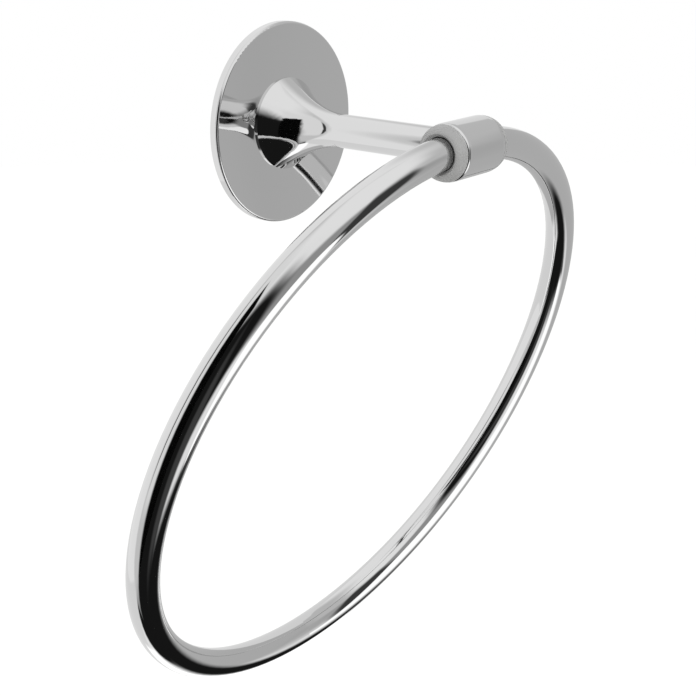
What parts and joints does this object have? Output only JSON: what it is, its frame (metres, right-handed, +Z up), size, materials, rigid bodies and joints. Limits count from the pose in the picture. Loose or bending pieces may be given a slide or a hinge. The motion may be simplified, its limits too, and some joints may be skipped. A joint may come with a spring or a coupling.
{
  "type": "towel ring",
  "caption": "Round towel ring that swings in a short barrel at the end of a flared post, held on the wall by a round plate.",
  "frame": {"origin": "centre of the wall plate's back, on the wall plane", "axes": "+Z up, the post stands out of the wall along -Y, and the ring's barrel lies along X"},
  "size_m": [0.1994, 0.0773, 0.2135],
  "materials": {
    "polished_chrome": "chrome plated brass, polished to a mirror",
    "cast_zinc": "as-cast zinc alloy, dull",
    "screw_steel": "plain stainless steel",
    "grey_acetal": "moulded acetal, satin",
    "white_nylon": "moulded nylon"
  },
  "bodies": {
    "wall_mount": {"wall_plate": "polished_chrome", "mounting_bracket": "cast_zinc", "post": "polished_chrome", "grub_screw": "screw_steel", "barrel": "polished_chrome", "left_end_cap": "grey_acetal", "right_end_cap": "grey_acetal", "left_bush": "white_nylon", "right_bush": "white_nylon"},
    "swinging_ring": {"ring": "polished_chrome", "ring_dowel": "screw_steel"}
  },
  "joints": [
    {"name": "ring_swing", "type": "hinge", "parent": "wall_mount", "child": "swinging_ring", "pos_m": [0, -0.069, 0], "axis": [-1, 0, 0], "range_deg": [0, 219.5]}
  ]
}
